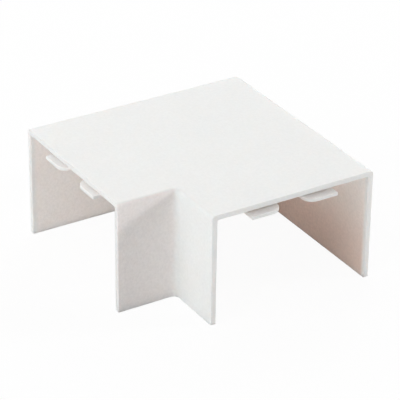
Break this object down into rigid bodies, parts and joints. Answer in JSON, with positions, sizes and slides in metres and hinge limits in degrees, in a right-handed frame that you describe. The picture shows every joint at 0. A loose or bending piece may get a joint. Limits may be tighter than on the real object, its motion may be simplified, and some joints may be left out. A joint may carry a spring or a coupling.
{
  "type": "trunking flat angle",
  "caption": "One-piece white moulded cover that carries surface trunking round a right angle on one wall, open under and at both legs, with hooked tongues for the lid.",
  "frame": {"origin": "where the centre lines of the two trunking runs cross, on the wall plane", "axes": "+Z points away from the wall; one leg opens towards -Y and the other towards +X"},
  "size_m": [0.1103, 0.1103, 0.0524],
  "materials": {
    "pvc_moulding": "satin moulded white rigid PVC"
  },
  "bodies": {
    "root": {"angle_cover": "pvc_moulding"}
  },
  "joints": []
}
